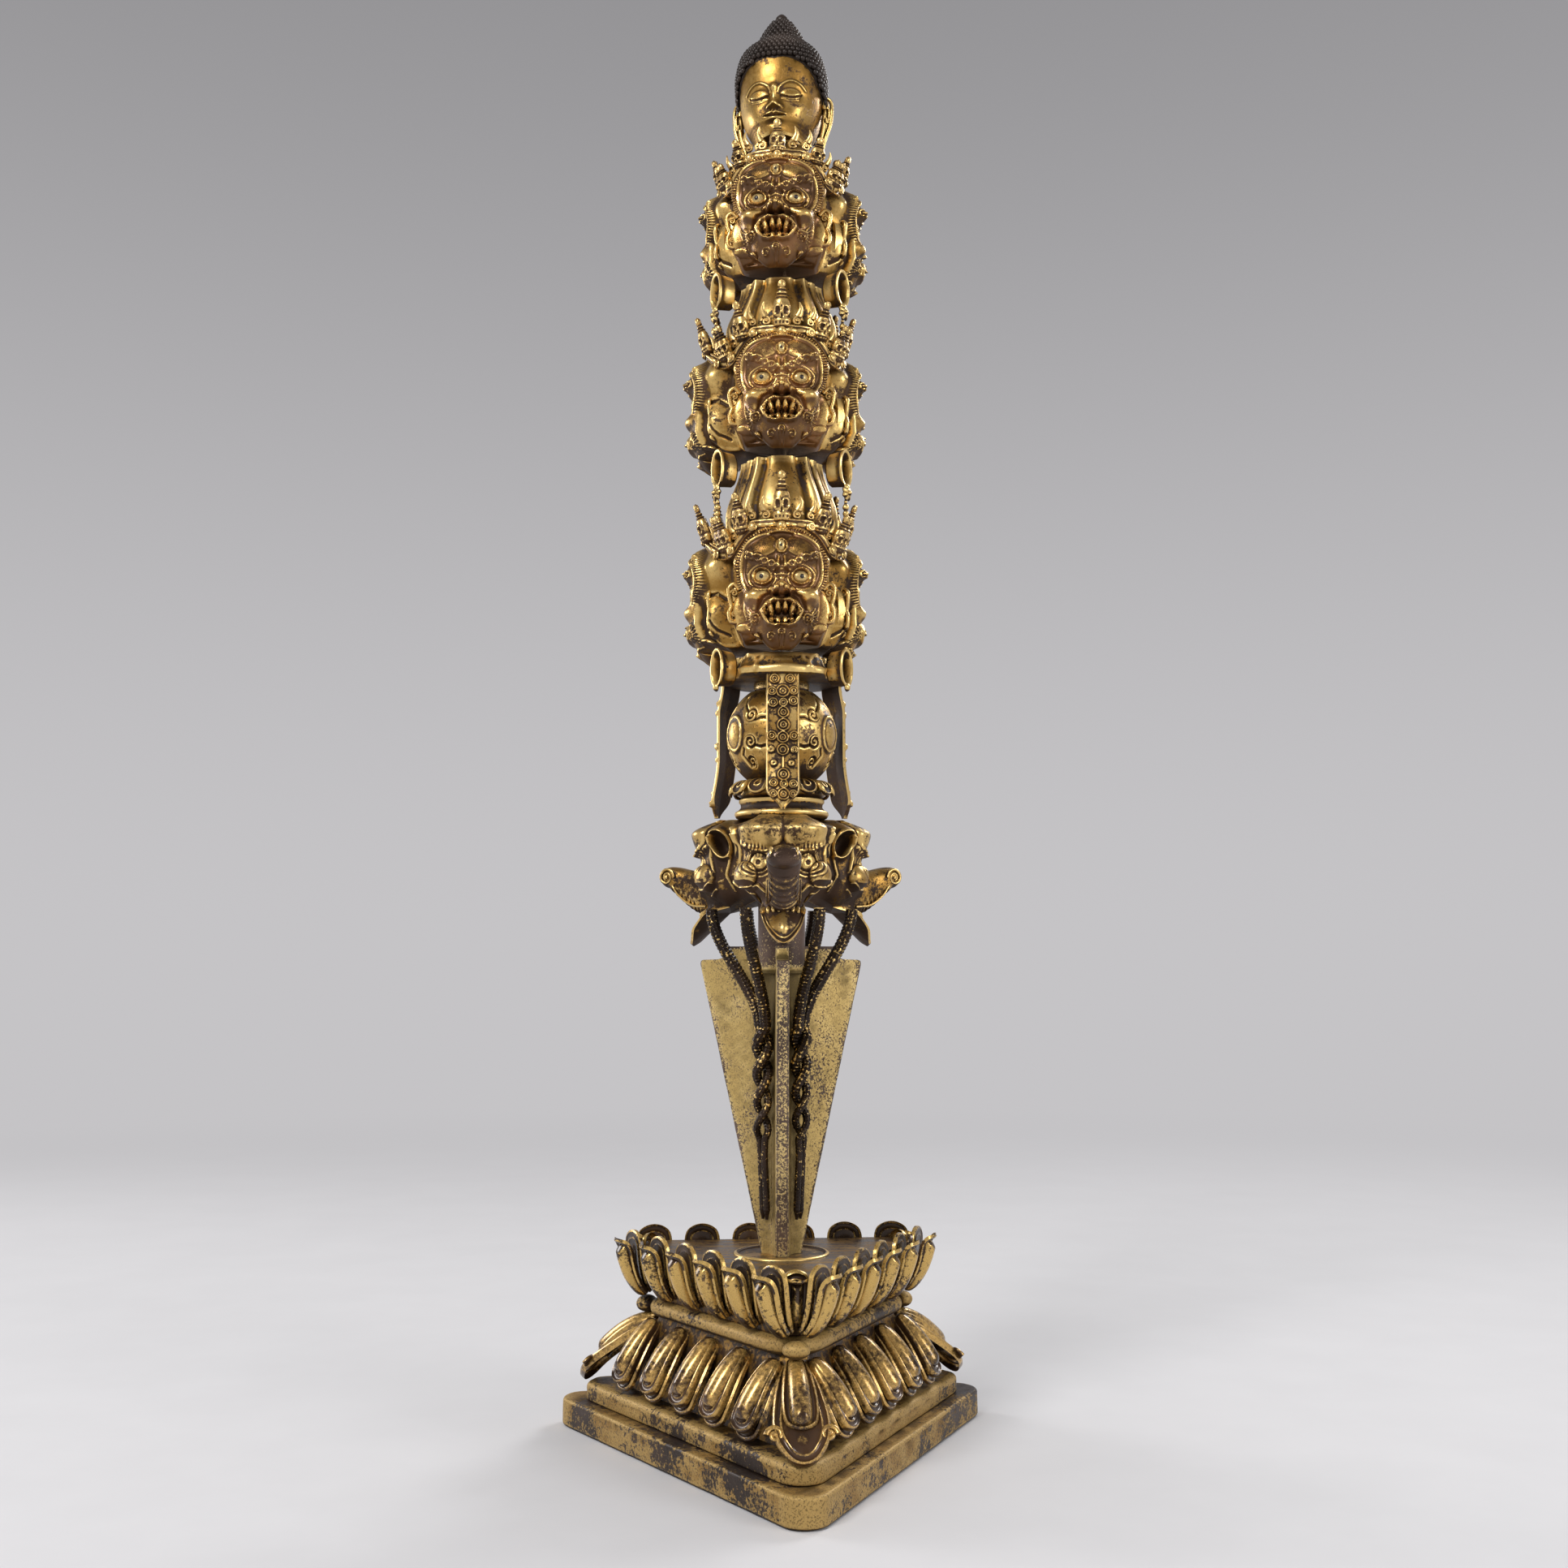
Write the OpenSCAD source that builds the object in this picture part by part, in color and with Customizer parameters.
/* [Stand] */
// Corner radius of the foot plate, measured to its sharp corner
foot_r = 110; // [104:1:118]
// Thickness of the foot plate
foot_t = 11; // [8:0.5:14]
// Rounding of the stand's corners, seen from above
corner_round = 9.5; // [6:0.5:12]
// Corner radius of the step plate
step_r = 98.5; // [94:0.5:101]
// Thickness of the step plate
step_t = 7.6; // [6:0.2:10]
// Width of the bevel on the step plate's upper edge
step_bevel = 2; // [1:0.5:3]
// Corner radius of the lower drum at its foot
lower_drum_r = 78; // [74:1:82]
// Corner radius of both drums at the waist
waist_r = 64; // [61:1:67]
// Height of the lower drum
lower_drum_h = 29.4; // [27:0.2:34]
// Height of the waist band
waist_h = 7; // [5:0.5:9]
// How far the waist band stands out of the drums
waist_bulge = 4; // [3:0.5:5]
// Radius of the bead on each corner of the waist band
waist_bead_r = 5; // [4:0.5:6]
// Height of the upper drum
upper_drum_h = 17; // [16:0.5:22]
// Corner radius of the deck plate
deck_r = 73; // [71:0.5:75]
// Thickness of the deck plate
deck_t = 4; // [3:0.5:6]
// Radius of the three pins that hold the layers together
pin_r = 2.5; // [1.5:0.25:3]
// Distance of the pins from the axis
pin_ring_r = 28; // [24:1:32]

/* [Lotus petals] */
// Petals of the lower ring on each side, without the corner petal
lower_petals_a_side = 5; // [3:1:6]
// Petals of the upper ring on each side
upper_petals_a_side = 6; // [4:1:7]
// Radius of a petal's bulb at its broad end
petal_bulb_r = 6.2; // [5:0.2:7]
// Radius of a petal's bulb at the waist
petal_root_r = 4.2; // [3:0.2:5]
// Width of the leaf behind each bulb
petal_leaf_w = 20; // [16:1:22]
// How far the lower petals reach out from the waist
lower_petal_reach = 13; // [11:0.5:15]
// How far the corner petals reach out from the waist
corner_petal_reach = 32; // [24:1:34]
// How far the tips of the corner petals curl up, above those of the side petals
corner_petal_curl = 5; // [0:0.5:7]
// How far the upper petals lean out from the waist
upper_petal_lean = 8; // [6:0.5:9]
// How far the back leaves rise above the deck
petal_rise = 6; // [4:0.5:8]
// Thickness of the skirt that joins the petals of one ring
skirt_t = 2; // [1.5:0.25:3]

/* [Blade] */
// How far the blade is turned from the stand's corners, seen from above
phurba_turn = -4; // [-6:1:6]
// Height of the blade from the deck to its shoulder
blade_rise = 116; // [100:1:130]
// Depth of the blade in its socket
blade_depth = 24; // [18:1:26]
// Reach of a wing from the axis, at the shoulder
wing_r = 38; // [34:0.5:42]
// Reach of a wing from the axis, at the deck
wing_deck_r = 8.4; // [7.8:0.2:9.4]
// Thickness of a wing
wing_t = 5.2; // [4:0.2:5.6]
// Reach of the wing's neck, above the notched shoulder
wing_neck_r = 24.5; // [22:0.5:27]
// Height of the wing's neck
wing_neck_h = 7; // [5:0.5:9]
// Radius of the core on which the monster heads sit
core_r = 9.7; // [8:0.1:11]
// Outer radius of the socket sleeve
sleeve_r = 17; // [16:0.5:19]
// Wall under the blade's tip
sleeve_floor = 7; // [5:0.5:8]
// Radius of the rod through the stack of sections
rod_r = 3.4; // [2.5:0.1:4]
// Depth of the rod in the blade's core
rod_depth = 20; // [12:1:30]
// Height of the nut on the rod
nut_h = 5; // [4:0.5:6]
// Corner radius of the six-sided nut
nut_r = 7; // [6:0.25:8]

/* [Serpents] */
// Radius of a serpent's body
serpent_r = 2.1; // [1.6:0.1:2.2]
// Radius of the twist about the middle of the valley
twist_r = 2.3; // [2.25:0.05:2.5]
// Distance of the twist from the axis
twist_ring_r = 9; // [8.6:0.1:10]
// Length of the twisted stretch
twist_l = 44; // [36:1:52]
// Turns of the twist
twist_turns = 2; // [1:0.5:2.5]
// Length of the straight tails under the twist
tail_l = 32; // [24:1:36]

/* [Monster heads] */
// Height of a monster head
monster_h = 52; // [46:1:58]
// Reach of the forehead
monster_brow_r = 32; // [30:0.5:33]
// Reach of the lower jaw
monster_jaw_r = 40; // [37:0.5:43]
// Reach of the flat seat that carries the trunk
trunk_seat_r = 36; // [35.5:0.5:38]
// Reach of the trunk's scroll
trunk_r = 57; // [54:0.5:61]
// Width of the trunk
trunk_w = 9; // [7:0.5:10]
// Radius of the scroll at the trunk's end
scroll_r = 4.6; // [3.5:0.2:5.5]

/* [Knot] */
// Height of the collar above the monster heads
collar_h = 8; // [6:0.5:10]
// Radius of the collar
collar_r = 18.5; // [16:0.5:20]
// Height of the small lotus ring
lotus_h = 7; // [5:0.5:9]
// Radius of the small lotus ring
lotus_r = 21; // [19:0.5:23]
// Radius of the ball
ball_r = 23.6; // [21.6:0.2:24.4]
// Height of the ball between its two flats
ball_h = 38; // [34:1:40]
// Height of the cap on the ball
cap_h = 3.5; // [2.5:0.5:5]
// Radius of the cap on the ball
cap_r = 11.5; // [9.5:0.5:13]
// Width of a floral band
band_w = 11; // [9:0.5:12]
// Thickness of a floral band
band_t = 2.2; // [1.6:0.2:2.6]
// Length of a floral band
band_l = 55; // [48:1:56]
// Flowers on each band
band_flowers = 5; // [3:1:6]

/* [Tiers of heads] */
// Height of the lowest bust
bust_h_low = 9.5; // [9:0.5:14]
// Height of the middle bust
bust_h_mid = 34; // [32:1:40]
// Height of the upper bust
bust_h_top = 29; // [27:1:36]
// Height of the lowest heads
head_h_low = 49; // [45:1:53]
// Height of the middle heads
head_h_mid = 47; // [43:1:51]
// Height of the upper heads
head_h_top = 46; // [42:1:50]
// Half width of a head
head_half_w = 19; // [17:0.5:21]
// Reach of a head's cheeks from the axis
face_r = 33.5; // [31:0.5:35]
// How far the nose stands out of the face
nose_out = 6; // [4:0.5:7]
// Radius of the lowest bust at its foot
bust_r = 27.5; // [26:0.5:29]
// Radius of the two higher busts at their foot
bust_foot_r = 23; // [21:0.5:23.5]
// Radius of a bust at the neck
neck_r = 16.5; // [15:0.5:18]
// Height of the crown's band
crown_band_h = 5; // [4:0.5:6]
// Height of the tallest leaf of the lowest crowns
crown_h_low = 25; // [20:0.5:27]
// Height of the tallest leaf of the middle crowns
crown_h_mid = 24; // [18:0.5:26]
// Height of the tallest leaf of the upper crowns
crown_h_top = 18; // [15:0.5:22]
// Inner radius of a crown
crown_r = 24.2; // [23.8:0.1:25]
// Thickness of a crown
crown_t = 2.8; // [2.2:0.2:3.4]
// Outer radius of an ear spool
spool_r = 4.8; // [4:0.2:5]
// Wall of an ear spool
spool_wall = 1.1; // [0.8:0.1:1.5]
// Reach of an ear spool from the axis
spool_reach = 31; // [29.5:0.5:33]
// Length of a pendant chain
pendant_l = 15; // [10:0.5:15]
// How far the left heads of the two lower tiers stand out beyond the others
left_head_out = 5.5; // [0:0.5:7]
// How far the lowest tier is turned from the blade, seen from above
turn_low = -1; // [-4:1:2]
// How far the middle tier is turned from the blade
turn_mid = -1; // [-4:1:2]
// How far the upper tier is turned from the blade
turn_top = -5; // [-8:1:-1]

/* [Top head] */
// How far the top head is turned from the blade
turn_head = -11; // [-20:1:0]
// Height of the neck under the top head
top_neck_h = 16; // [14:0.5:20]
// Radius of that neck
top_neck_r = 11; // [9:0.5:12]
// Height of the top head from its chin to the hairline
top_face_h = 34; // [30:1:38]
// Half width of the top head
top_half_w = 18; // [16:0.5:20]
// Half depth of the top head
top_half_d = 20; // [18:0.5:22]
// Height of the hair cap with its pointed top
hair_h = 28; // [24:1:34]

/* [Fits] */
// Gap between sections that sit beside each other
seat_gap = 0.2; // [0.1:0.05:0.3]
// Gap on each side of the blade in its socket
socket_gap = 0.3; // [0.2:0.05:0.4]
// Gap round the rod, the nut and the pins
pin_gap = 0.1; // [0.05:0.05:0.15]

/* [Hidden] */
$fn = 48;

// Directions of the three wings and faces, as angles from the front
front = 0;
right = 360 / 3;
left = 2 * right;
// Sides of the petals' bulbs and leaves
petal_sides = 8;
// Half of a head's sector, short of the neighbour's by the seat gap
half_sector = 60 - seat_gap / 2 / neck_r * 180 / PI;

// Heights of the stand's layers
step_z = foot_t;
lower_z = step_z + step_t;
waist_z = lower_z + lower_drum_h;
upper_z = waist_z + waist_h;
deck_z = upper_z + upper_drum_h;
deck_top = deck_z + deck_t;

// Heights of the blade
tip_z = deck_top - blade_depth;
shoulder_z = deck_top + blade_rise;
wing_slope = (wing_r - wing_deck_r) / blade_rise;
tip_r = wing_deck_r - wing_slope * blade_depth;
mouth_z = shoulder_z + wing_neck_h;

// Heights of the sections above the blade
collar_z = mouth_z + monster_h;
lotus_z = collar_z + collar_h;
ball_z = lotus_z + lotus_h;
cap_z = ball_z + ball_h;
bust_z_low = cap_z + cap_h;
head_z_low = bust_z_low + bust_h_low;
bust_z_mid = head_z_low + head_h_low;
head_z_mid = bust_z_mid + bust_h_mid;
bust_z_top = head_z_mid + head_h_mid;
head_z_top = bust_z_top + bust_h_top;
top_neck_z = head_z_top + head_h_top;
serene_z = top_neck_z + top_neck_h;
hair_z = serene_z + top_face_h;

// Underside of the monster head where the serpents leave it
serpent_top_z = mouth_z + 15;
twist_top_z = serpent_top_z - 48;
twist_end_z = twist_top_z - twist_l;

// Where the serpents leave the monster heads: distance out and aside in the valley
serpent_out = 25;
serpent_aside = 14;

// Point at a radius and a height, at an angle from the front
function at(a, r, z) = [r * sin(a), -r * cos(a), z];
// Smooth bump of height 1 that fades over the width w
function bump(x, w) = exp(-x * x / (w * w));
// Smooth step from 0 to 1 over the range from p to q
function ease(p, q, x) = let (t = min(1, max(0, (x - p) / (q - p)))) t * t * (3 - 2 * t);

// Closed solid skinned over a row of loops that have equal counts of points
module skin(loops, ring = false) {
  n = len(loops);
  k = len(loops[0]);
  sides = [
    for (i = [0:n - (ring ? 1 : 2)], j = [0:k - 1])
      let (s = (i + 1) % n, t = (j + 1) % k)
        each [[i * k + j, i * k + t, s * k + t], [i * k + j, s * k + t, s * k + j]]
  ];
  ends = ring ? [] : [[for (j = [k - 1:-1:0]) j], [for (j = [0:k - 1]) (n - 1) * k + j]];
  polyhedron([for (l = loops) each l], concat(ends, sides), convexity = 8);
}

// Sector of a ring: a profile of [radius, height] points, given for each angle
module sector(angles, profile, ring = false) {
  skin([for (a = angles) [for (p = profile(a)) at(a, p[0], p[1])]], ring);
}

// Rounded triangle at a height, as a loop of points, with one corner at the front
function triangle(r, z) = [for (c = [left, right, front], w = [60:-12:-60])
  at(c, r - 2 * corner_round, z) + at(c + w, corner_round, 0)];

// Slab of the triangle, or a tapered one when its upper corner radius is given
module slab(r, z, h, r_top = 0) {
  if (r_top == 0)
    translate([0, 0, z]) linear_extrude(h) polygon([for (p = triangle(r, 0)) [p[0], p[1]]]);
  else skin([triangle(r, z), triangle(r_top, z + h)]);
}

// Copies its children to the three directions
module three() {
  for (a = [front, right, left]) rotate([0, 0, a]) children();
}

// Turns its children with the blade
module turned() {
  rotate([0, 0, phurba_turn]) children();
}

// Upright plate in the radial plane at the front, drawn as [radius, height]
module radial_plate(t) {
  rotate([90, 0, -90]) linear_extrude(t, center = true) children();
}

// Bores for the three pins, or the pins themselves when grow is 0
module pin_set(z, h, grow) {
  three() translate([0, -pin_ring_r, z]) cylinder(r = pin_r + grow, h = h);
}

// Outline of one wing down to its tip, widened by grow
module wing_outline(grow, top) {
  polygon([[0, tip_z - grow], [tip_r + grow, tip_z - grow],
           [wing_r + grow - (shoulder_z - top) * wing_slope, top], [0, top]]);
}

// Space of the blade's part below a height, widened by grow
module blade_space(grow, top) {
  three() radial_plate(wing_t + 2 * grow) wing_outline(grow, top);
}

module foot_plate() {
  color("#8a6a2c") difference() {
    slab(foot_r, 0, foot_t);
    pin_set(foot_t / 2, foot_t, pin_gap);
  }
}

module step_plate() {
  color("#94722f") difference() {
    skin([triangle(step_r, step_z), triangle(step_r, lower_z - step_bevel),
          triangle(step_r - 2 * step_bevel, lower_z)]);
    pin_set(step_z - 1, step_t + 2, pin_gap);
  }
}

module lower_drum() {
  color("#3a2a1c") difference() {
    slab(lower_drum_r, lower_z, lower_drum_h, waist_r);
    sleeve_space();
    pin_set(lower_z - 1, lower_drum_h + 2, pin_gap);
  }
}

module waist_band() {
  mid = waist_z + waist_h / 2;
  color("#8f6c2a") difference() {
    union() {
      skin([triangle(waist_r, waist_z), triangle(waist_r + 2 * waist_bulge, mid),
            triangle(waist_r, upper_z)]);
      three() translate([0, -waist_r - 2 * waist_bulge + corner_round, mid])
        intersection() {
          sphere(r = waist_bead_r);
          cube([20, 20, waist_h], center = true);
        }
    }
    sleeve_space();
    pin_set(waist_z - 1, waist_h + 2, pin_gap);
  }
}

module upper_drum() {
  color("#3a2a1c") difference() {
    slab(waist_r, upper_z, upper_drum_h, deck_r);
    sleeve_space();
    pin_set(upper_z - 1, upper_drum_h / 2 + 1, pin_gap);
  }
}

module deck_plate() {
  color("#4a3420") difference() {
    slab(deck_r, deck_z, deck_t);
    sleeve_space();
  }
}

// Bore that the socket sleeve sits in
module sleeve_space() {
  translate([0, 0, tip_z - sleeve_floor])
    cylinder(r = sleeve_r + pin_gap, h = blade_depth + sleeve_floor + 1);
}

module socket_sleeve() {
  color("#7a5c28") difference() {
    translate([0, 0, tip_z - sleeve_floor])
      cylinder(r = sleeve_r, h = blade_depth + sleeve_floor);
    turned() blade_space(socket_gap, deck_top + 1);
  }
}

module tie_pins() {
  color("#6d6a63")
    pin_set(foot_t / 2 + pin_gap, upper_z + upper_drum_h / 2 - foot_t / 2 - 2 * pin_gap, 0);
}

// Bulb between two points in the plane x = 0, rounded at both ends
module bulb(p, q, r_p, r_q) {
  d = (q - p) / norm(q - p);
  skin([for (k = [[-0.8, 0.45], [-0.1, 0.95], [0.5, 1.06], [1, 1], [1.75, 0.45]])
    let (t = min(1, max(0, k[0])), past = (k[0] - t) * (k[0] < 0 ? r_p : r_q),
         c = p + t * (q - p) + past * d, r = (r_p + t * (r_q - r_p)) * k[1])
      [for (j = [0:petal_sides - 1]) let (w = (j + 0.5) * 360 / petal_sides)
        c + r * [cos(w), -d[2] * sin(w), d[1] * sin(w)]]]);
}

// One petal of the lower ring: a bulb on a broad leaf, pointing out along -Y
module hanging_petal(reach, curl = 0) {
  bulb([0, -petal_root_r, waist_z - petal_root_r - seat_gap],
       [0, -reach, lower_z + petal_bulb_r + 5 + curl / 2], petal_root_r, petal_bulb_r);
  hull() {
    translate([0, 0.5, waist_z - 6]) cube([petal_leaf_w * 0.5, 1, 4], center = true);
    translate([0, -reach + 3, lower_z + 6 + curl]) rotate([60, 0, 0])
      cylinder(r = petal_leaf_w / 2, h = 2, $fn = petal_sides, center = true);
  }
}

// Places of the petals along one side, as shares of its half length
function places(count) = [for (i = [0:count - 1]) (i + 0.5) * 2 / count - 1];

module lower_petals() {
  half_side = waist_r * sqrt(3) / 2 * 0.98;
  color("#5a3d1c") difference() {
    union() {
      slab(lower_drum_r + 2 * skirt_t, lower_z, lower_drum_h - seat_gap, waist_r + 2 * skirt_t);
      rotate([0, 0, 60]) three() for (p = places(lower_petals_a_side))
        translate([p * half_side, -waist_r / 2, 0]) rotate([0, 0, p * 16])
          hanging_petal(lower_petal_reach);
      three() translate([0, -waist_r + corner_round, 0])
        hanging_petal(corner_petal_reach, corner_petal_curl);
    }
    slab(lower_drum_r + seat_gap * 2, lower_z, lower_drum_h, waist_r + seat_gap * 2);
    translate([0, 0, -1]) cylinder(r = 2 * foot_r, h = lower_z + seat_gap + 1);
    translate([0, 0, waist_z - seat_gap]) cylinder(r = 2 * foot_r, h = waist_h);
  }
}

// One petal of the upper ring: a bulb that leans out, with a back leaf over the deck
module upright_petal() {
  bulb([0, -petal_root_r * 0.8, upper_z + petal_root_r + seat_gap],
       [0, -upper_petal_lean - petal_bulb_r / 2, deck_z - 2], petal_root_r, petal_bulb_r);
  hull() {
    translate([0, -1.5, upper_z + 6]) cube([petal_leaf_w * 0.4, 2, 6], center = true);
    translate([0, -upper_petal_lean + 1, deck_top + petal_rise - petal_leaf_w * 0.4])
      rotate([90, 0, 0]) cylinder(r = petal_leaf_w * 0.4, h = 3, $fn = petal_sides, center = true);
  }
}

module upper_petals() {
  half_side = waist_r * sqrt(3) / 2 * 1.02;
  color("#5a3d1c") difference() {
    union() {
      slab(waist_r + 2 * skirt_t, upper_z + seat_gap, upper_drum_h - seat_gap,
           deck_r + 2 * skirt_t);
      rotate([0, 0, 60]) three() for (p = places(upper_petals_a_side))
        translate([p * half_side, -waist_r / 2, 0]) upright_petal();
    }
    skin([triangle(waist_r + seat_gap * 2, upper_z), triangle(deck_r + seat_gap * 2, deck_z),
          triangle(deck_r + seat_gap * 2, deck_top + petal_rise + 5)]);
  }
}

module blade() {
  color("#a8842f") difference() {
    union() {
      blade_space(0, shoulder_z);
      three() radial_plate(wing_t) polygon([
        [0, shoulder_z - 1], [wing_r - wing_slope, shoulder_z - 1], [wing_r, shoulder_z],
        [wing_r - 1, shoulder_z + 1.5],
        for (t = [0:18:90]) [wing_neck_r + 6 * (1 - sin(t)), shoulder_z + 1.5 + 4 * (1 - cos(t))],
        [wing_neck_r, mouth_z], [0, mouth_z]
      ]);
      translate([0, 0, shoulder_z - 4]) cylinder(r = core_r, h = collar_z - shoulder_z + 4);
    }
    translate([0, 0, collar_z - rod_depth - pin_gap]) cylinder(r = rod_r + pin_gap, h = rod_depth + 1);
  }
}

module tang_rod() {
  color("#6d6a63") translate([0, 0, collar_z - rod_depth])
    cylinder(r = rod_r, h = serene_z + nut_h + 1 - collar_z + rod_depth);
}

module tang_nut() {
  color("#6d6a63") translate([0, 0, serene_z]) difference() {
    cylinder(r = nut_r, h = nut_h, $fn = 6);
    translate([0, 0, -1]) cylinder(r = rod_r + pin_gap, h = nut_h + 2);
  }
}

// Middle line of one serpent at a height: distance out and distance aside in its valley
function serpent_line(z, side) =
  let (down = ease(serpent_top_z, twist_top_z, z),
       turn = 360 * twist_turns * ease_line(twist_top_z, twist_end_z, z),
       tail = ease(twist_end_z, twist_end_z - tail_l, z),
       thin = ease(twist_end_z + 2, twist_end_z - 8, z),
       r = twist_r + (1.5 - twist_r) * thin,
       out = serpent_out + (twist_ring_r - serpent_out) * down - 1.2 * tail,
       aside = serpent_aside + (r - serpent_aside) * down)
    [out + side * r * sin(turn), side * (z > twist_top_z ? aside : r * cos(turn))];
function ease_line(p, q, x) = min(1, max(0, (x - p) / (q - p)));

// Radius of a serpent at a height: full in the twist, thin in the tail
function serpent_size(z) =
  serpent_r + (1.3 - serpent_r) * ease(twist_end_z + 2, twist_end_z - 8, z);

// Pair of serpents in the valley at an angle from the front
module serpents(a) {
  steps = 14;
  levels = concat(
    [for (i = [0:2]) twist_end_z - tail_l + i * tail_l / 3],
    [for (i = [0:steps]) twist_end_z + i * twist_l / steps],
    [for (i = [1:7]) twist_top_z + i * (serpent_top_z - seat_gap - twist_top_z) / 7]);
  color("#2c2018") rotate([0, 0, a]) for (side = [-1, 1])
    skin([for (z = levels) let (c = serpent_line(z, side), r = serpent_size(z))
      [for (j = [0:5]) [c[1] + r * cos(60 * j), -c[0] - r * sin(60 * j), z]]]);
}

// Outer reach of a monster head: forehead, brow, eyes, snout, jaw and ear hollow
function monster_reach(a, z) =
  let (h = z - mouth_z, w = abs(a),
       wide = monster_brow_r - 13 * ease(22, 58, w),
       forehead = 3 * bump(w - 13, 10) * bump(h - 45, 7),
       brow = 2 * bump(w - 16, 12) * bump(h - 35, 2.5),
       eye = 3.2 * bump(w - 27, 6) * bump(h - 29, 4),
       socket = -3 * bump(w - 17, 5) * bump(h - 29, 3),
       snout = 5 * bump(w, 16) * bump(h - 22, 8),
       cheek = 3.5 * bump(w - 26, 8) * bump(h - 18, 6),
       jaw = (monster_jaw_r - monster_brow_r) * bump(w, 15) * bump(h - 6, 6),
       ear = -4.5 * bump(w - 47, 7) * bump(h - 42, 5),
       horn = 3 * bump(w - 56, 7) * bump(h - 38, 10),
       top = -9 * ease(44, 56, h))
    wide + forehead + brow + eye + socket + snout + cheek + jaw + ear + horn + top;

// Lower edge of a monster head, flat where the serpents leave it
function monster_foot(a) =
  mouth_z + (serpent_top_z - mouth_z) * ease(13, 22, abs(a)) + 4 * ease(40, 52, abs(a));

module monster_head(a) {
  seat = atan(5.2 / trunk_seat_r);
  angles = [-half_sector, -53, -46, -40, -31, -22, -17, -12, -seat, 0, seat, 12, 17, 22, 31,
            40, 46, 53, half_sector];
  levels = [0, 4, 9, 14, 21, 26, 32, 35, 39, 43, 47, monster_h];
  color("#7c5c26") rotate([0, 0, a]) sector(angles, function (t) [
    each [for (l = levels) let (
      foot = monster_foot(t),
      z = l < 21 ? foot + l * (mouth_z + 21 - foot) / 21 : mouth_z + l,
      flat = abs(t) <= seat + 0.01 && l >= 14 && l <= 32,
      cap = abs(t) < 12 && l > 32 ? trunk_seat_r - 1 : monster_jaw_r)
      [flat ? trunk_seat_r / cos(t) : min(monster_reach(t, z), cap), z]],
    [core_r + seat_gap, mouth_z + monster_h], [core_r + seat_gap, monster_foot(t)]]);
}

// Curled trunk: a ribbed wedge that rises to a scroll
module trunk(a) {
  low = mouth_z + 14.5;
  high = mouth_z + 31;
  end_z = mouth_z + 29;
  ribs = 7;
  color("#3c2a1a") rotate([0, 0, a]) {
    radial_plate(trunk_w) polygon([
      [trunk_seat_r, high], [trunk_seat_r, low],
      for (i = [0:2 * ribs]) let (t = i / (2 * ribs))
        [trunk_seat_r + 5 + t * (trunk_r - trunk_seat_r - 5) - (i % 2) * 0.9,
         low + 1 + t * t * (end_z - low - scroll_r / 2)],
      [trunk_r - scroll_r, end_z + scroll_r * 0.6]
    ]);
    translate([0, -trunk_r + scroll_r, end_z]) rotate([0, 90, 0])
      cylinder(r = scroll_r, h = trunk_w + 0.8, center = true);
  }
}

module monster_collar() {
  color("#8a672a") translate([0, 0, collar_z]) rotate_extrude() polygon([
    [rod_r + pin_gap, 0], [collar_r, 0], [collar_r + 1, collar_h * 0.3],
    [collar_r - 2, collar_h * 0.6], [collar_r - 1, collar_h], [rod_r + pin_gap, collar_h]
  ]);
}

module lotus_ring() {
  petals = 12;
  color("#6a4a20") sector([for (i = [0:3 * petals - 1]) i * 120 / petals], function (a)
    let (lobe = pow(abs(cos(a * petals / 2)), 0.7)) [
      [collar_r - 4, lotus_z], [lotus_r - 4 + 3 * lobe, lotus_z + 0.25 * lotus_h],
      [lotus_r - 3 + 3 * lobe, lotus_z + 0.7 * lotus_h], [lotus_r - 7, ball_z],
      [rod_r + pin_gap, ball_z], [rod_r + pin_gap, lotus_z]
    ], ring = true);
}

module knot_ball() {
  color("#8a672a") translate([0, 0, ball_z + ball_h / 2]) difference() {
    intersection() {
      sphere(r = ball_r);
      cylinder(r = ball_r + 1, h = ball_h, center = true);
    }
    cylinder(r = rod_r + pin_gap, h = ball_h + 2, center = true);
  }
}

module ball_cap() {
  color("#5a3f1e") translate([0, 0, cap_z]) difference() {
    cylinder(r = cap_r, h = cap_h);
    translate([0, 0, -1]) cylinder(r = rod_r + pin_gap, h = cap_h + 2);
  }
}

// Inner reach of a band, by its distance below the bust
function band_line(d) = bust_r - band_t - 0.6 + 2 * ease(0, 12, d) + 4 * ease(30, 55, d);

module floral_band(a) {
  steps = 26;
  pitch = band_l / (band_flowers + 0.3);
  color("#7a5a26") rotate([0, 0, a]) skin([
    for (i = [0:steps]) let (
      d = i * band_l / steps,
      z = bust_z_low - d,
      r = band_line(d),
      half = (band_w / 2) * (1 - 0.75 * ease(band_l - 6, band_l + 1, d)),
      off = (d + pitch * 0.3) % pitch - pitch / 2,
      petal = 1.1 * bump(off, pitch * 0.33))
      [[-half, -r, z], [-half, -r - band_t * 0.7, z], [-half * 0.55, -r - band_t * 0.7 - petal, z],
       [0, -r - band_t * 0.7 - petal * 0.6, z], [half * 0.55, -r - band_t * 0.7 - petal, z],
       [half, -r - band_t * 0.7, z], [half, -r, z]]
  ]);
}

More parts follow.
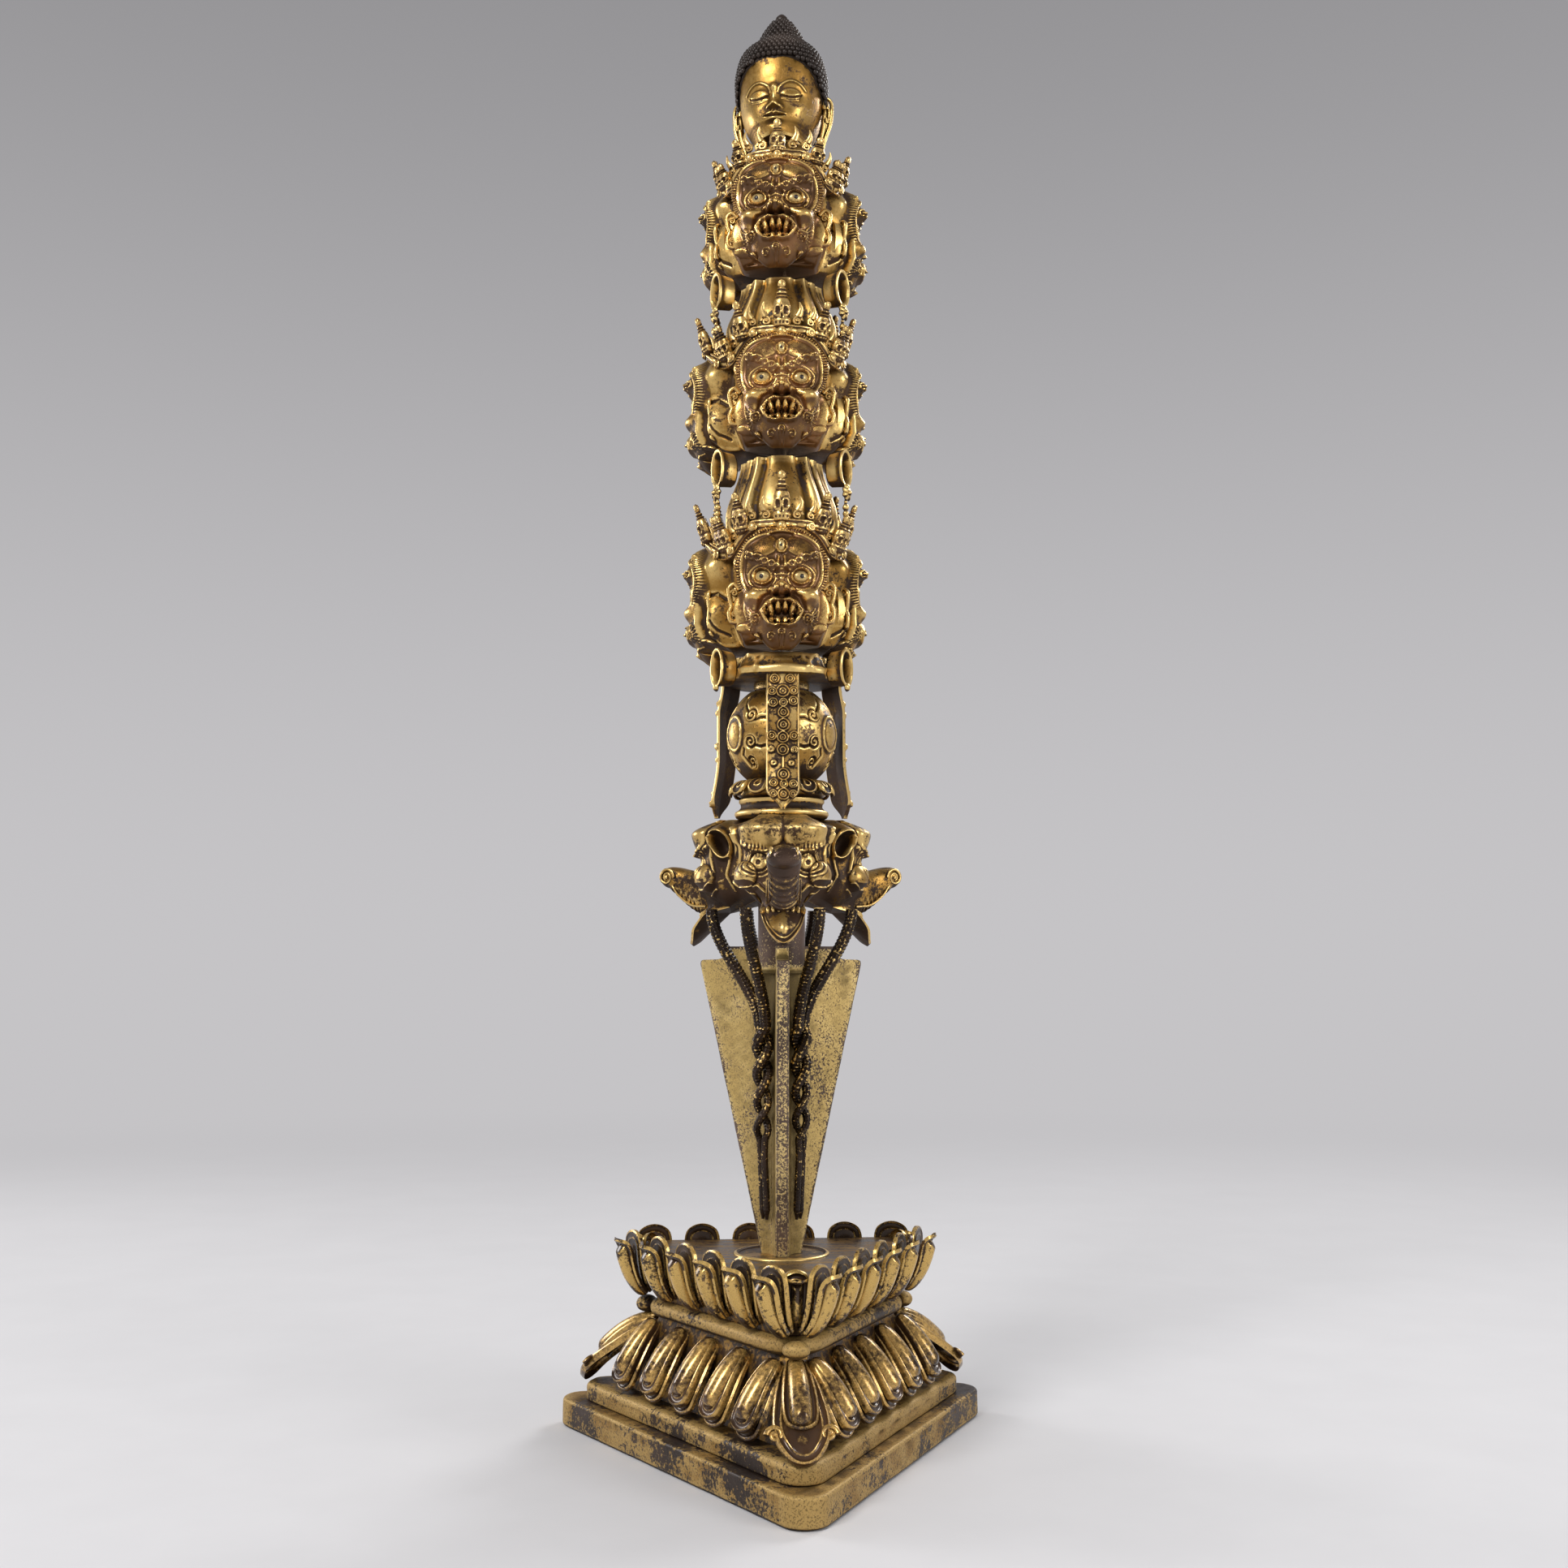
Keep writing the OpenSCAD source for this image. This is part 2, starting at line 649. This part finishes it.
// Lowest bust: a plate with a lobe under each head, drawn in between them
module bust_plate() {
  color("#8f6c2a") sector([for (i = [0:35]) 10 * i], function (a)
    let (w = abs((a + 60) % 120 - 60),
         lobe = bust_r - 5.5 * ease(34, 58, w)) [
      [lobe, bust_z_low], [lobe, bust_z_low + 1.5], [lobe - 5, bust_z_low + bust_h_low * 0.5],
      [neck_r, head_z_low], [rod_r + pin_gap, head_z_low], [rod_r + pin_gap, bust_z_low]
    ], ring = true);
}

// Radius of the two higher busts at a share t of their height
function bust_line(t) = bust_foot_r + (neck_r - bust_foot_r) * ease(0.3, 1, t);

module bust(z, h) {
  steps = 7;
  color("#8f6c2a") translate([0, 0, z]) rotate_extrude() polygon([
    [rod_r + pin_gap, 0],
    for (i = [0:steps]) [bust_line(i / steps), h * i / steps],
    [rod_r + pin_gap, h]
  ]);
}

// Reach of a fierce head: rounded square plan with brow, eyes, nose, cheeks, mouth and chin
function fierce_reach(a, t) =
  let (w = abs(a),
       round_in = 1 - 0.16 * (1 - ease(0, 0.22, t)) - 0.12 * ease(0.72, 1, t),
       wide = pow(pow(sin(w) / head_half_w, 3) + pow(cos(w) / face_r, 3), -1 / 3),
       brow = 2.6 * bump(t - 0.66 - w * 0.003, 0.05) * bump(w - 17, 12),
       third_eye = 1.6 * bump(w, 5) * bump(t - 0.82, 0.06),
       socket = -2.6 * bump(w - 15, 9) * bump(t - 0.55, 0.06),
       eye = 2.6 * bump(w - 15, 5) * bump(t - 0.55, 0.045),
       nose = nose_out * bump(w, 8) * bump(t - 0.43, 0.09),
       cheek = 3.2 * bump(w - 24, 8) * bump(t - 0.36, 0.09),
       lips = 3 * bump(w, 16) * bump(t - 0.22, 0.12),
       mouth = -5 * bump(w, 11) * bump(t - 0.22, 0.05),
       chin = 3 * bump(w, 10) * bump(t - 0.05, 0.06),
       ear = 2.5 * bump(w - 52, 5) * bump(t - 0.4, 0.2))
    wide * round_in + brow + third_eye + socket + eye + nose + cheek + lips + mouth + chin + ear;

module fierce_head(a, z, h, out = 0) {
  angles = [-half_sector, -51, -41, -31, -22, -15, -9, -4, 0, 4, 9, 15, 22, 31, 41, 51,
            half_sector];
  levels = [0, 0.06, 0.13, 0.19, 0.25, 0.31, 0.37, 0.44, 0.5, 0.56, 0.62, 0.68, 0.77, 0.88, 1];
  color("#7c5a28") rotate([0, 0, a]) sector(angles, function (t) [
    each [for (l = levels) [fierce_reach(t, l) + out * (1 - ease(35, 58, abs(t))), z + l * h]],
    [rod_r + pin_gap + 0.4, z + h], [rod_r + pin_gap + 0.4, z]]);
}

// Height of a crown's upper edge: five leaves on a band
function crown_edge(a, tall) =
  crown_band_h + max([for (p = [-44, -22, 0, 22, 44])
    (tall - crown_band_h) * (p == 0 ? 1 : 0.72) * max(0, 1 - abs(a - p) / 10)]);

module crown(a, z, tall, out = 0) {
  angles = [-half_sector, -54, -44, -34, -32, -22, -12, -10, 0, 10, 12, 22, 32, 34, 44, 54,
            half_sector];
  color("#54391b") rotate([0, 0, a]) sector(angles, function (t)
    let (edge = crown_edge(t, tall), lean = 1.2 + 10 * ease(24, 46, abs(t)),
         up = (edge - crown_band_h) / tall, half_up = crown_band_h * 0.2 + edge / 2,
         r = crown_r + out * (1 - ease(35, 58, abs(t)))) [
      [r + crown_t, z], [r + crown_t + 0.8, z + crown_band_h * 0.6],
      [r + crown_t + lean * up * 0.4, z + half_up], [r + crown_t * 0.8 + lean * up, z + edge],
      [r + crown_t * 0.2 + lean * up, z + edge], [r + lean * up * 0.4, z + half_up], [r, z]
    ]);
}

// Radius of a higher bust of height h where the foot of a spool meets it
function spool_seat(h) = bust_line(1 - (2 * spool_r + seat_gap) / h);

// Three ear spools under the heads of a tier, between the faces
module spools(head_z, seat_r, turn) {
  z = head_z - spool_r - seat_gap;
  color("#8a672a") rotate([0, 0, 60 + turn]) three() translate([0, 0, z]) rotate([90, 0, 0])
    difference() {
      translate([0, 0, seat_r + seat_gap]) cylinder(r = spool_r, h = spool_reach - seat_r - seat_gap);
      translate([0, 0, seat_r + 3]) cylinder(r = spool_r - spool_wall, h = spool_reach);
    }
}

// Pendant chain under each ear spool of a tier: a flower, a link and a drop
module pendants(head_z, turn) {
  top = head_z - 2 * spool_r - 2 * seat_gap;
  color("#7a5a26") rotate([0, 0, 60 + turn]) three() translate([0, -spool_reach + 0.8, top]) {
    translate([0, 0, -pendant_l / 4]) rotate([90, 0, 0])
      cylinder(r = pendant_l / 4, h = 2, center = true);
    translate([0, 0, -pendant_l * 0.62]) cube([1.8, 1.6, pendant_l * 0.4], center = true);
    translate([0, 0, -pendant_l + 2.2]) sphere(r = 2.2);
  }
}

module serene_neck() {
  color("#8f6c2a") translate([0, 0, top_neck_z]) rotate_extrude() polygon([
    [rod_r + pin_gap, 0], [top_neck_r + 6, 0], [top_neck_r + 3.5, top_neck_h * 0.3],
    [top_neck_r, top_neck_h * 0.65], [top_neck_r, top_neck_h], [rod_r + pin_gap, top_neck_h]
  ]);
}

// Plan of the top head at a share t of its height, at an angle from the front
function serene_plan(a, t) =
  let (w = a > 180 ? 360 - a : a,
       grow = 0.72 + 0.28 * ease(0, 0.5, t),
       egg = pow(pow(abs(sin(w)) / top_half_w, 2.3) + pow(abs(cos(w)) / top_half_d, 2.3), -1 / 2.3),
       nose = 2.6 * bump(w, 8) * bump(t - 0.42, 0.12),
       brow = 0.9 * bump(w - 18, 12) * bump(t - 0.66, 0.06),
       eye = -0.9 * bump(w - 18, 8) * bump(t - 0.56, 0.06),
       lips = 1.1 * bump(w, 12) * bump(t - 0.23, 0.07),
       chin = 1.2 * bump(w, 14) * bump(t - 0.05, 0.08),
       ear = 3 * bump(w - 88, 9) * bump(t - 0.45, 0.35))
    egg * grow + nose + brow + eye + lips + chin + ear;

module serene_head() {
  levels = [0, 0.07, 0.15, 0.23, 0.31, 0.42, 0.5, 0.56, 0.65, 0.75, 0.87, 1];
  angles = [0, 6, 12, 20, 30, 42, 60, 76, 88, 100, 120, 150, 180, 210, 240, 260, 272, 284, 300,
            318, 330, 340, 348, 354];
  color("#94722f") difference() {
    rotate([0, 0, turn_head])
      skin([for (l = levels)
        [for (a = angles) at(-a, serene_plan(a, l), serene_z + l * top_face_h)]]);
    translate([0, 0, serene_z - 1]) cylinder(r = nut_r + pin_gap + 0.5, h = nut_h + 3.5);
  }
}

module hair_cap() {
  curls = 12;
  levels = [0, 0.08, 0.16, 0.24, 0.32, 0.4, 0.48, 0.56, 0.65, 0.74, 0.84, 0.93, 1];
  color("#241a14") rotate([0, 0, turn_head]) skin([for (i = [0:len(levels) - 1])
    let (l = levels[i]) [for (j = [0:2 * curls - 1]) let (
      a = j * 180 / curls,
      dome = (top_half_w + 1.2) * sqrt(max(0, 1 - pow(l / 0.53, 2))),
      knot = 9.4 * (1 - pow(max(0, l - 0.42) / 0.6, 1.15)),
      curl = 0.8 * ((i + j) % 2) * (l > 0 && l < 0.9 ? 1 : 0))
      at(-a, max(dome, knot, 1.2) + curl, hair_z + l * hair_h)]]);
}

foot_plate();
step_plate();
lower_drum();
lower_petals();
waist_band();
upper_drum();
upper_petals();
deck_plate();
socket_sleeve();
tie_pins();
turned() blade();
turned() tang_rod();
turned() tang_nut();
turned() serpents(60);  // serpents_right
turned() serpents(180);  // serpents_back
turned() serpents(300);  // serpents_left
turned() monster_head(front);  // monster_front
turned() monster_head(right);  // monster_right
turned() monster_head(left);  // monster_left
turned() trunk(front);  // trunk_front
turned() trunk(right);  // trunk_right
turned() trunk(left);  // trunk_left
turned() monster_collar();
turned() lotus_ring();
turned() knot_ball();
turned() ball_cap();
turned() floral_band(front);  // band_front
turned() floral_band(right);  // band_right
turned() floral_band(left);  // band_left
turned() bust_plate();  // bust_low
turned() bust(bust_z_mid, bust_h_mid);  // bust_mid
turned() bust(bust_z_top, bust_h_top);  // bust_top
turned()  // head_low_front
  fierce_head(front + turn_low, head_z_low, head_h_low);
turned()  // head_low_right
  fierce_head(right + turn_low, head_z_low, head_h_low);
turned()  // head_low_left
  fierce_head(left + turn_low, head_z_low, head_h_low, left_head_out);
turned()  // head_mid_front
  fierce_head(front + turn_mid, head_z_mid, head_h_mid);
turned()  // head_mid_right
  fierce_head(right + turn_mid, head_z_mid, head_h_mid);
turned()  // head_mid_left
  fierce_head(left + turn_mid, head_z_mid, head_h_mid, left_head_out);
turned()  // head_top_front
  fierce_head(front + turn_top, head_z_top, head_h_top);
turned()  // head_top_right
  fierce_head(right + turn_top, head_z_top, head_h_top);
turned()  // head_top_left
  fierce_head(left + turn_top, head_z_top, head_h_top);
turned()  // crown_low_front
  crown(front + turn_low, bust_z_mid, crown_h_low);
turned()  // crown_low_right
  crown(right + turn_low, bust_z_mid, crown_h_low);
turned()  // crown_low_left
  crown(left + turn_low, bust_z_mid, crown_h_low, left_head_out);
turned()  // crown_mid_front
  crown(front + turn_mid, bust_z_top, crown_h_mid);
turned()  // crown_mid_right
  crown(right + turn_mid, bust_z_top, crown_h_mid);
turned()  // crown_mid_left
  crown(left + turn_mid, bust_z_top, crown_h_mid, left_head_out);
turned()  // crown_top_front
  crown(front + turn_top, top_neck_z, crown_h_top);
turned()  // crown_top_right
  crown(right + turn_top, top_neck_z, crown_h_top);
turned()  // crown_top_left
  crown(left + turn_top, top_neck_z, crown_h_top);
turned() spools(head_z_low, bust_r - 4, turn_low);  // spools_low
turned()  // spools_mid
  spools(head_z_mid, spool_seat(bust_h_mid), turn_mid);
turned()  // spools_top
  spools(head_z_top, spool_seat(bust_h_top), turn_top);
turned() pendants(head_z_mid, turn_mid);  // pendants_mid
turned() pendants(head_z_top, turn_top);  // pendants_top
turned() serene_neck();
turned() serene_head();
turned() hair_cap();
